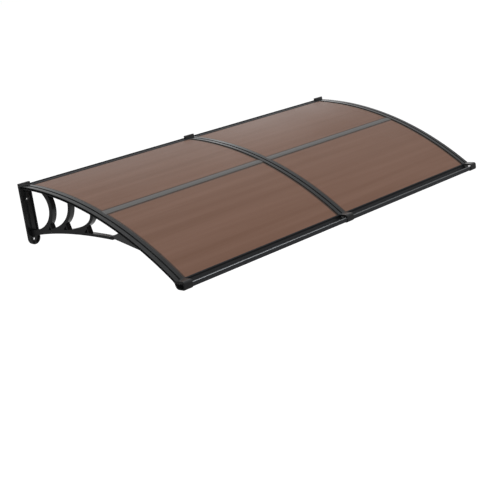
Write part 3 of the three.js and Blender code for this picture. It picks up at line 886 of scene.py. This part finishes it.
# Die lines run along the bar, some 0.2 apart and drawn 0.7 apart: they stretch the highlight along it.
die_lines = {"Scale": 1.0, "Detail": 2}
grey_anodised = mottled(
    "aluminium_extruded_anodised_grey",
    noise=die_lines,
    gloss=(0.32, 0.48),
    tones=("#4f4e4d", "#5c5b5a"),
    shading={"Metallic": 1.0},
    relief=(die_lines, 0.15, 0.0001),
    stretch=(3, 1400, 1400),
)
half, web = JOINT_W / 2, JOINT_WEB / 2
crown = [joint_at - half + JOINT_W * k / 10 for k in range(11)]
corners = [(*on_arch(s, LIP_TOP + CROWN * ((s - joint_at) / half) ** 2), 0) for s in crown]
corners += [(*on_arch(joint_at + half, SLOT_TOP), 0.2), (*on_arch(joint_at + web, SLOT_TOP), 0)]
corners += [(*on_arch(joint_at + web, SLOT_BOTTOM), 0), (*on_arch(joint_at + half, SLOT_BOTTOM), 0.3)]
corners += [(*on_arch(joint_at + half, LIP_BOTTOM), 0.5), (*on_arch(joint_at - half, LIP_BOTTOM), 0.5)]
corners += [(*on_arch(joint_at - half, SLOT_BOTTOM), 0.3), (*on_arch(joint_at - web, SLOT_BOTTOM), 0)]
corners += [(*on_arch(joint_at - web, SLOT_TOP), 0), (*on_arch(joint_at - half, SLOT_TOP), 0.2)]
laid("joining_bar", [rounded(corners, 3)], grey_anodised)


# Gutters, one to each bay, slid into the collars. Each is one dark powder-coated aluminium section: a clip
# over and under the sheets' front edge, a trough with a rounded back, and a front wall with a rolled rim.
rim_centre = Vector((GUTTER_FRONT - RIM_R, -GUTTER_RIM))
front = GUTTER_FRONT - GUTTER_T
rim = []
for k in range(25):
    turn = -math.pi / 2 - 1.5 * math.pi * k / 24
    rim.append((rim_centre.x + RIM_R * math.cos(turn), rim_centre.y + RIM_R * math.sin(turn), 0))
corners = [(*on_arch(SHEET_END - UPPER_LIP, LIP_TOP), 0.4), (*on_arch(clip_front, LIP_TOP), 0.5)]
corners += [(*p, 0) for p in trough_back(0)[1:]] + [(front, GUTTER_T - GUTTER_FLOOR, 1.5)]
corners += [(front, -GUTTER_RIM - RIM_R - 0.2, 0), *rim, (GUTTER_FRONT, -GUTTER_FLOOR, 2.5)]
corners += [(*p, 0) for p in trough_back(GUTTER_T)[::-1]]
corners += [(*on_arch(SHEET_END, LIP_BOTTOM), 0), (*on_arch(SHEET_END - LOWER_LIP, LIP_BOTTOM), 0.5)]
corners += [(*on_arch(SHEET_END - LOWER_LIP, SLOT_BOTTOM), 0.4), (*on_arch(SHEET_END + FREE, SLOT_BOTTOM), 0)]
corners += [(*on_arch(SHEET_END + FREE, SLOT_TOP), 0), (*on_arch(SHEET_END - UPPER_LIP, SLOT_TOP), 0.4)]
# The rolled rim has a smooth metal of its own, lighter than the matt walls: a painted sheen that, with the
# low lamp, draws the line of light along it. Marks of the rollers run along it, drawn 1.7 apart.
rim_painted_sheen = mottled(
    "aluminium_rolled_rim_painted_sheen",
    noise={"Scale": 1.0, "Detail": 2},
    gloss=(0.17, 0.26),
    tones=("#505254", "#606264"),
    shading={"Metallic": 1.0},
    stretch=(12, 600, 600),
)
# The rim's faces get the lighter metal, the painted sheen.
for gutter in laid("gutter", [rounded(corners, 4)], dark_coat):
    gutter.data.materials.append(rim_painted_sheen)
    middle = seen_from_side(*rim_centre, 0)
    for face in gutter.data.polygons:
        away = face.center - middle
        in_rim = math.hypot(away.y, away.z) < (RIM_R + 0.1) / 1000
        face.material_index = in_rim and abs(face.normal.x) < 0.5


# Screws, twelve in all: a self-tapping pan head screw of zinc-plated steel goes up through a bracket into
# each end of each bar. Only the heads show, from below, with their cross recess.
SCREW_X = 17
SCREW_R = 1.6
SCREW_GAP = 0.15
POINT_L = 1.4
HEAD_R = 3.4
HEAD_H = 2.6
HEAD_EDGE = 0.15
RECESS_L = 2.1
RECESS_W = 0.45
RECESS_DEPTH = 1.1
# The plating's blotches, a few across, change its gloss and tint it from blue to yellow.
zinc = mottled(
    "steel_zinc_plated_bright",
    noise={"Scale": 420, "Detail": 2},
    gloss=(0.22, 0.4),
    tones=("#b4b8bd", "#c9c6bb"),
    shading={"Metallic": 1.0},
)


def turned_screw(length):
    """Screw on the Z axis, point up, with its head seated at zero, in metres."""
    dome = ((0, 1), (0.35, 0.99), (0.68, 0.86), (0.9, 0.6), (1, 0.28))
    profile = [(HEAD_R * across, -HEAD_H * down) for across, down in dome]
    profile += [(HEAD_R, -HEAD_EDGE), (HEAD_R - HEAD_EDGE, 0)]
    profile += [(SCREW_R, 0), (SCREW_R, length - POINT_L), (0, length)]
    bm = bmesh.new()
    verts = [bm.verts.new((r / 1000, 0, z / 1000)) for r, z in profile]
    edges = [bm.edges.new(pair) for pair in zip(verts, verts[1:])]
    bmesh.ops.spin(bm, geom=verts + edges, axis=(0, 0, 1), cent=(0, 0, 0), steps=28, angle=2 * math.pi)
    body = shown("screw", bm)
    u, v = RECESS_L, RECESS_W
    arms = [[(-u, -v), (u, -v), (u, v), (-u, v)], [(v, -u), (v, u), (-v, u), (-v, -u)]]
    cross = pushed("cross", arms, -HEAD_H - 1, RECESS_DEPTH - HEAD_H, lambda *p: Vector(p) / 1000, bool)
    return carved(body, cut=[cross])


screw_tree = bpy.data.node_groups.new("screws_on_seats", "GeometryNodeTree")
for name, kind in (
    ("Seats", "NodeSocketGeometry"),
    ("Screw", "NodeSocketObject"),
    ("Lean", "NodeSocketFloat"),
    ("Turn", "NodeSocketFloat"),
    ("Material", "NodeSocketMaterial"),
):
    screw_tree.interface.new_socket(name=name, in_out="INPUT", socket_type=kind)
screw_tree.interface.new_socket(name="Geometry", in_out="OUTPUT", socket_type="NodeSocketGeometry")
size = add(screw_tree, "NodeGroupInput").outputs
screw = add(screw_tree, "GeometryNodeObjectInfo", inputs={"Object": size["Screw"]})
twist = add(
    screw_tree,
    "FunctionNodeRandomValue",
    {"data_type": "FLOAT"},
    {"Min": 0.0, "Max": size["Turn"], "Seed": 7},
)
# Each screw stops at a turn of its own.
spin = add(screw_tree, "ShaderNodeCombineXYZ", inputs={"Z": twist.outputs["Value"]})
tilt = add(screw_tree, "ShaderNodeCombineXYZ", inputs={"X": size["Lean"]})
lean, twisted = (
    add(screw_tree, "FunctionNodeEulerToRotation", inputs={0: angles.outputs[0]}).outputs[0]
    for angles in (tilt, spin)
)
turn = add(
    screw_tree,
    "FunctionNodeRotateRotation",
    {"rotation_space": "LOCAL"},
    {"Rotation": lean, "Rotate By": twisted},
)
driven = add(
    screw_tree,
    "GeometryNodeInstanceOnPoints",
    inputs={"Points": size["Seats"], "Instance": screw.outputs["Geometry"], "Rotation": turn.outputs[0]},
)
real = add(screw_tree, "GeometryNodeRealizeInstances", inputs={"Geometry": driven.outputs[0]})
coloured = add(
    screw_tree,
    "GeometryNodeSetMaterial",
    inputs={"Geometry": real.outputs[0], "Material": size["Material"]},
)
add(screw_tree, "NodeGroupOutput", inputs={"Geometry": coloured.outputs[0]})

# Each kind of bar has its screws' place in the side view, their lean and their length.
REAR_SCREW = 10.5
joint_screw = joint_at + 8
gutter_screw = clip_foot.x + TROUGH_R + 4
screws_of = {
    "rear_bar": (on_arch(REAR_SCREW, SUNK_TOP), 0, 7),
    "joining_bar": (on_arch(joint_screw, ARM_DEPTH), wall_angle + joint_screw / arch_radius, 3.6),
    "gutter": ((gutter_screw, -GUTTER_FLOOR - COLLAR_WALL), 0, 9),
}
ends = {
    "left_outer": SCREW_X - BAY,
    "left_inner": -SCREW_X,
    "right_inner": SCREW_X,
    "right_outer": BAY - SCREW_X,
}
for kind, ((out, height), lean, length) in screws_of.items():
    points = bpy.data.meshes.new("seats")
    points.from_pydata([seen_from_side(out, height - SCREW_GAP, x) for x in ends.values()], [], [])
    model = turned_screw(length)
    values = {"Screw": model, "Lean": lean, "Turn": math.pi, "Material": zinc}
    screws = from_tree(f"{kind}_screws", screw_tree, points, values)
    bpy.data.objects.remove(model)
    finished(screws, zinc)
    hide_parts(*(f"screw_{kind}_{end}" for end in ends))
    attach(screws, "root")


# Floor: a pale studio floor as far below the canopy as a doorstep is. It keeps the shadow, and a camera, a
# reflection or light through the sheets finds it white.
DOORSTEP = 2.3
bpy.ops.mesh.primitive_plane_add(size=400, location=(0, 0, -DOORSTEP))
floor = bpy.context.object
floor.name = "studio_floor"
pale, tree = emptied("floor_paint_matt_white")
path = add(tree, "ShaderNodeLightPath").outputs
seen = path["Is Camera Ray"]
for ray in ("Is Glossy Ray", "Is Transmission Ray"):
    seen = add(tree, "ShaderNodeMath", {"operation": "MAXIMUM"}, {0: seen, 1: path[ray]}).outputs[0]
paint = add(tree, "ShaderNodeBsdfDiffuse", inputs={"Color": linear("#e6e6e6")})
# The lamps light the paint part of the way to white, and its glow adds the rest.
level = add(tree, "ShaderNodeMath", {"operation": "MULTIPLY"}, {0: seen, 1: 0.62}).outputs[0]
lit = add(tree, "ShaderNodeEmission", inputs={"Color": (1, 1, 1, 1), "Strength": level})
surface = add(tree, "ShaderNodeAddShader", inputs={0: paint.outputs[0], 1: lit.outputs[0]})
add(tree, "ShaderNodeOutputMaterial", inputs={"Surface": surface.outputs[0]})
floor.data.materials.append(pale)

# Studio light: a white surround, large soft lamps overhead and to the front left, a low one at the front
# right, which draws the line of light on the gutter's rim that fades towards the right, and a weak one
# behind the right end, which shines on the middle arm near the wall.
world = bpy.data.worlds.new("white_studio")
bpy.context.scene.world = world
world.use_nodes = True
tree = world.node_tree
tree.nodes.clear()
path = add(tree, "ShaderNodeLightPath").outputs
seen = path["Is Camera Ray"]
for ray in ("Is Glossy Ray", "Is Transmission Ray"):
    seen = add(tree, "ShaderNodeMath", {"operation": "MAXIMUM"}, {0: seen, 1: path[ray]}).outputs[0]
level = add(tree, "ShaderNodeMapRange", inputs={"Value": seen, "To Min": 0.55, "To Max": 1.0}).outputs[0]
surround = add(tree, "ShaderNodeBackground", inputs={"Color": (1, 1, 1, 1), "Strength": level})
add(tree, "ShaderNodeOutputWorld", inputs={"Surface": surround.outputs[0]})
lamps_meet = Vector((0, -0.45, 0))
for name, at, power, wide in (
    ("overhead", (-0.5, -0.6, 3.2), 55, 3.0),
    ("front_left", (-3.4, -3.2, 2.4), 40, 2.2),
    ("low_right", (2.3, -4.3, 1.0), 75, 2.0),
    ("behind_right", (4.6, 3.3, 2.1), 6.5, 1.4),
):
    lamp = bpy.data.lights.new(name, "AREA")
    lamp.shape = "DISK"
    lamp.size = wide
    lamp.energy = power
    soft = bpy.data.objects.new(name, lamp)
    bpy.context.scene.collection.objects.link(soft)
    soft.location = at
    soft.rotation_mode = "QUATERNION"
    soft.rotation_quaternion = (lamps_meet - Vector(at)).to_track_quat("-Z", "Y")

# Camera: left of the canopy, in front of it and a little above, looking down by 15 degrees.
lens = bpy.data.cameras.new("photo_view")
lens.lens = 80.35
lens.sensor_width = 36
camera = bpy.data.objects.new("photo_view", lens)
bpy.context.scene.collection.objects.link(camera)
right = Vector((0.6804955, -0.7198346, -0.1369821))
up = Vector((0.2775149, 0.0801642, 0.9573710))
aim = Matrix((right, up, right.cross(up))).transposed().to_4x4()
camera.matrix_world = Matrix.Translation((-3.699, -4.080, 0.979)) @ aim
bpy.context.scene.camera = camera
bpy.context.scene.view_settings.view_transform = "Standard"
